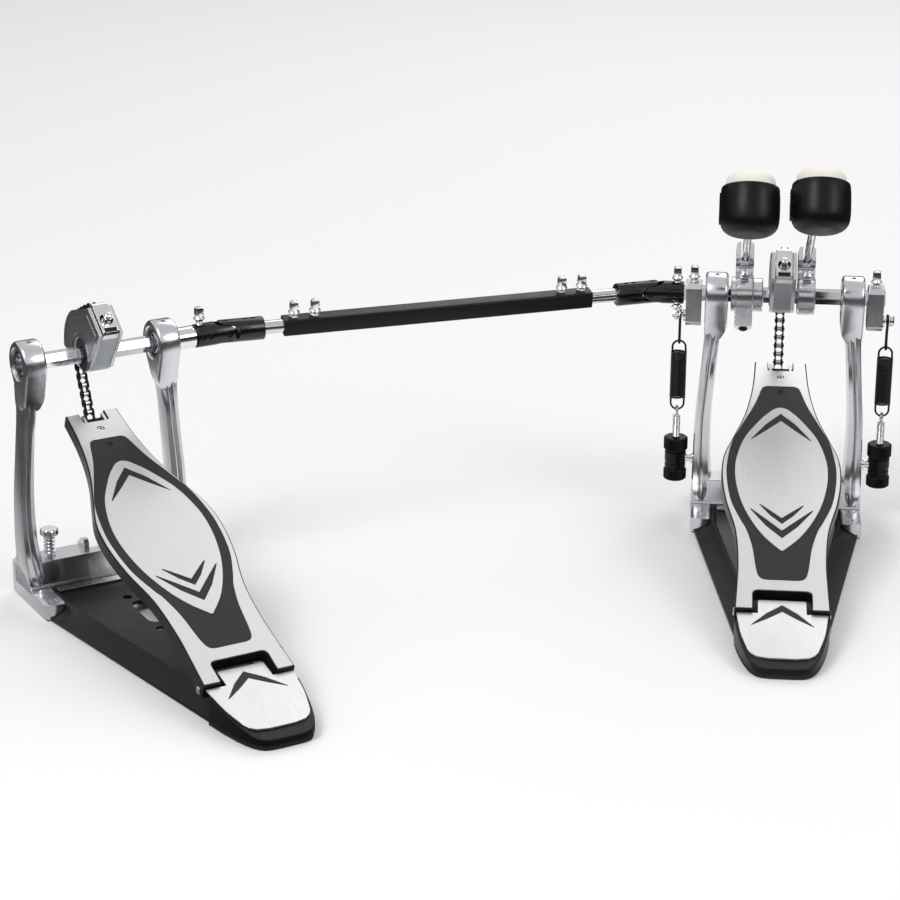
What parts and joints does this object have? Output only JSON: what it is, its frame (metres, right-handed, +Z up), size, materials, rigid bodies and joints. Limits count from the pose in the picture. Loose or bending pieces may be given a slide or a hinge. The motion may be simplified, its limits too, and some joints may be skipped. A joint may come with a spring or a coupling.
{
  "type": "twin bass drum pedal",
  "caption": "Twin bass drum pedal: a chain-driven main pedal with two beaters, a slave pedal and a jointed drive shaft between them.",
  "frame": {"origin": "on the floor, under the middle of the main pedal's axle", "axes": "+X along the main axle, away from the slave pedal; +Y from the heel towards the drum; +Z up"},
  "size_m": [0.6313, 0.4827, 0.3008],
  "materials": {
    "cast_aluminium": "polished cast",
    "chrome": "polished",
    "steel": "bright",
    "brushed_plate": "brushed",
    "black_board": "black anodised with a brushed top rim",
    "black_paint": "semi-gloss black",
    "black_plastic": "semi-matt black",
    "rubber": "matt",
    "felt": "cream felt"
  },
  "bodies": {
    "stand_root": {"main_base_plate": "black_paint", "main_front_foot": "rubber", "main_heel_foot": "rubber", "main_heel_block": "black_board", "main_heel_plate": "brushed_plate", "main_hinge_pin": "steel", "main_stand": "cast_aluminium", "main_bearing_left": "steel", "main_bearing_right": "steel", "slave_base_plate": "black_paint", "slave_front_foot": "rubber", "slave_heel_foot": "rubber", "slave_heel_block": "black_board", "slave_heel_plate": "brushed_plate", "slave_hinge_pin": "steel", "slave_stand": "cast_aluminium", "slave_bearing_left": "steel", "slave_bearing_right": "steel", "left_spring_adjuster": "black_paint", "right_spring_adjuster": "black_paint"},
    "main_footboard": {"main_footboard": "black_board"},
    "slave_footboard": {"slave_footboard": "black_board"},
    "main_rocker": {"main_axle": "steel", "main_cam": "cast_aluminium", "main_chain_clip": "chrome", "right_hub": "cast_aluminium", "right_crank": "cast_aluminium"},
    "slave_rocker": {"slave_axle": "steel", "slave_cam": "cast_aluminium", "slave_chain_clip": "chrome", "slave_yoke": "black_paint"},
    "left_rocker": {"left_stub_yoke": "black_paint", "left_crank": "cast_aluminium", "left_hub": "cast_aluminium"},
    "right_beater": {"right_beater_shaft": "chrome", "right_beater_cup": "black_plastic", "right_beater_felt": "felt"},
    "left_beater": {"left_beater_shaft": "chrome", "left_beater_cup": "black_plastic", "left_beater_felt": "felt"},
    "drive_shaft": {"shaft_rod_main": "steel", "shaft_rod_slave": "steel", "shaft_tube": "black_paint"},
    "cross_main": {"cross_main": "steel"},
    "cross_slave": {"cross_slave": "steel"},
    "left_spring": {"left_spring_coil": "black_paint"},
    "left_spring_top": {"left_spring_hook": "black_paint"},
    "right_spring": {"right_spring_coil": "black_paint"},
    "right_spring_top": {"right_spring_hook": "black_paint"},
    "hoop_jaw": {"hoop_jaw": "black_paint"},
    "hoop_screw": {"hoop_screw": "chrome"},
    "anchor_screw": {"anchor_screw": "chrome"},
    "main_chain_1": {"main_chain_1": "steel"},
    "main_chain_2": {"main_chain_2": "steel"},
    "main_chain_3": {"main_chain_3": "steel"},
    "main_chain_span": {"main_chain_span": "steel"},
    "slave_chain_1": {"slave_chain_1": "steel"},
    "slave_chain_2": {"slave_chain_2": "steel"},
    "slave_chain_3": {"slave_chain_3": "steel"},
    "slave_chain_span": {"slave_chain_span": "steel"}
  },
  "joints": [
    {"name": "main_footboard_hinge", "type": "hinge", "parent": "stand_root", "child": "main_footboard", "pos_m": [0, -0.236, 0.0195], "axis": [1, 0, 0], "range_deg": [-7.94, 0], "stiffness_Nm_per_rad": 12, "springref_deg": 20.05},
    {"name": "slave_footboard_hinge", "type": "hinge", "parent": "stand_root", "child": "slave_footboard", "pos_m": [-0.34906, -0.37941, 0.0195], "axis": [0.8233, 0.5676, 0], "range_deg": [-8.34, 0], "stiffness_Nm_per_rad": 12, "springref_deg": 20.05},
    {"name": "main_rocker_turn", "type": "hinge", "parent": "stand_root", "child": "main_rocker", "pos_m": [0, 0, 0.1745], "axis": [1, 0, 0], "range_deg": [-60.02, 0]},
    {"name": "slave_rocker_turn", "type": "hinge", "parent": "stand_root", "child": "slave_rocker", "pos_m": [-0.483, -0.1851, 0.1745], "axis": [0.8233, 0.5676, 0], "range_deg": [-60.02, 0]},
    {"name": "drive_shaft_turn", "type": "hinge", "parent": "stand_root", "child": "drive_shaft", "pos_m": [-0.40108, -0.12863, 0.1745], "axis": [0.9198, 0.3923, 0], "range_deg": [-60.82, 0]},
    {"name": "left_rocker_turn", "type": "hinge", "parent": "stand_root", "child": "left_rocker", "pos_m": [0, 0, 0.1745], "axis": [1, 0, 0], "range_deg": [-57.92, 0]},
    {"name": "cross_slave_pivot", "type": "hinge", "parent": "slave_rocker", "child": "cross_slave", "pos_m": [-0.40108, -0.12863, 0.1745], "axis": [-0.5676, 0.8233, 0], "range_deg": [0, 10.62]},
    {"name": "cross_main_pivot", "type": "hinge", "parent": "left_rocker", "child": "cross_main", "pos_m": [-0.0995, 0, 0.1745], "axis": [0, 1, 0], "range_deg": [-21.02, 0]},
    {"name": "main_chain_1_pivot", "type": "hinge", "parent": "main_rocker", "child": "main_chain_1", "pos_m": [-0.0018, 0.0196, 0.1998], "axis": [1, 0, 0], "range_deg": [0, 14.97]},
    {"name": "main_chain_2_pivot", "type": "hinge", "parent": "main_chain_1", "child": "main_chain_2", "pos_m": [-0.0018, 0.0279, 0.19018], "axis": [1, 0, 0], "range_deg": [0, 22.91]},
    {"name": "main_chain_3_pivot", "type": "hinge", "parent": "main_chain_2", "child": "main_chain_3", "pos_m": [-0.0018, 0.0318, 0.17809], "axis": [1, 0, 0], "range_deg": [0, 22.91]},
    {"name": "main_chain_span_pivot", "type": "hinge", "parent": "main_chain_3", "child": "main_chain_span", "pos_m": [-0.0018, 0.03069, 0.16544], "axis": [1, 0, 0], "range_deg": [0, 11.47]},
    {"name": "slave_chain_1_pivot", "type": "hinge", "parent": "slave_rocker", "child": "slave_chain_1", "pos_m": [-0.49727, -0.16757, 0.19723], "axis": [0.8233, 0.5676, 0], "range_deg": [0, 20.86]},
    {"name": "slave_chain_2_pivot", "type": "hinge", "parent": "slave_chain_1", "child": "slave_chain_2", "pos_m": [-0.50128, -0.16176, 0.18667], "axis": [0.8233, 0.5676, 0], "range_deg": [0, 22.91]},
    {"name": "slave_chain_3_pivot", "type": "hinge", "parent": "slave_chain_2", "child": "slave_chain_3", "pos_m": [-0.50264, -0.15978, 0.1742], "axis": [0.8233, 0.5676, 0], "range_deg": [0, 22.91]},
    {"name": "slave_chain_span_pivot", "type": "hinge", "parent": "slave_chain_3", "child": "slave_chain_span", "pos_m": [-0.50115, -0.16195, 0.16178], "axis": [0.8233, 0.5676, 0], "range_deg": [0, 11.47]},
    {"name": "left_spring_swing", "type": "hinge", "parent": "stand_root", "child": "left_spring", "pos_m": [-0.077, 0, 0.082], "axis": [1, 0, 0], "range_deg": [0, 9.96]},
    {"name": "left_spring_stretch", "type": "slide", "parent": "left_spring", "child": "left_spring_top", "axis": [0, 0, 1], "range_m": [0, 0.00988]},
    {"name": "right_spring_swing", "type": "hinge", "parent": "stand_root", "child": "right_spring", "pos_m": [0.077, 0, 0.082], "axis": [1, 0, 0], "range_deg": [0, 9.96]},
    {"name": "right_spring_stretch", "type": "slide", "parent": "right_spring", "child": "right_spring_top", "axis": [0, 0, 1], "range_m": [0, 0.00988]},
    {"name": "left_beater_reach", "type": "slide", "parent": "left_rocker", "child": "left_beater", "axis": [0, -0.866, 0.5], "range_m": [-0.015, 0.015]},
    {"name": "right_beater_reach", "type": "slide", "parent": "main_rocker", "child": "right_beater", "axis": [0, -0.8499, 0.527], "range_m": [-0.015, 0.015]},
    {"name": "hoop_screw_turn", "type": "hinge", "parent": "stand_root", "child": "hoop_screw", "pos_m": [0, -0.008, 0.0298], "axis": [0, 0, 1], "range_deg": [0, 720]},
    {"name": "hoop_jaw_pivot", "type": "hinge", "parent": "stand_root", "child": "hoop_jaw", "pos_m": [0, 0.004, 0.027], "axis": [1, 0, 0], "range_deg": [-7.2, 0]},
    {"name": "anchor_screw_turn", "type": "hinge", "parent": "stand_root", "child": "anchor_screw", "pos_m": [-0.51644, -0.21058, 0.0298], "axis": [0, 0, 1], "range_deg": [0, 360]}
  ],
  "couplings": [
    {"joint": "main_rocker_turn", "follows": "main_footboard_hinge", "ratio": 7.5567},
    {"joint": "slave_rocker_turn", "follows": "slave_footboard_hinge", "ratio": 7.1942},
    {"joint": "drive_shaft_turn", "follows": "slave_footboard_hinge", "ratio": 7.2902},
    {"joint": "left_rocker_turn", "follows": "slave_footboard_hinge", "ratio": 6.9425},
    {"joint": "cross_slave_pivot", "follows": "slave_footboard_hinge", "ratio": -1.271},
    {"joint": "cross_main_pivot", "follows": "slave_footboard_hinge", "ratio": 2.518},
    {"joint": "main_chain_1_pivot", "follows": "main_footboard_hinge", "ratio": -1.8824},
    {"joint": "main_chain_2_pivot", "follows": "main_footboard_hinge", "ratio": -2.883},
    {"joint": "main_chain_3_pivot", "follows": "main_footboard_hinge", "ratio": -2.883},
    {"joint": "main_chain_span_pivot", "follows": "main_footboard_hinge", "ratio": -1.4415},
    {"joint": "slave_chain_1_pivot", "follows": "slave_footboard_hinge", "ratio": -2.4994},
    {"joint": "slave_chain_2_pivot", "follows": "slave_footboard_hinge", "ratio": -2.7447},
    {"joint": "slave_chain_3_pivot", "follows": "slave_footboard_hinge", "ratio": -2.7447},
    {"joint": "slave_chain_span_pivot", "follows": "slave_footboard_hinge", "ratio": -1.3724},
    {"joint": "left_spring_swing", "follows": "slave_footboard_hinge", "ratio": -1.192},
    {"joint": "left_spring_stretch", "follows": "slave_footboard_hinge", "m_per_rad": -0.06719},
    {"joint": "right_spring_swing", "follows": "main_footboard_hinge", "ratio": -1.252},
    {"joint": "right_spring_stretch", "follows": "main_footboard_hinge", "m_per_rad": -0.07058},
    {"joint": "hoop_jaw_pivot", "follows": "hoop_screw_turn", "ratio": -0.00972}
  ]
}
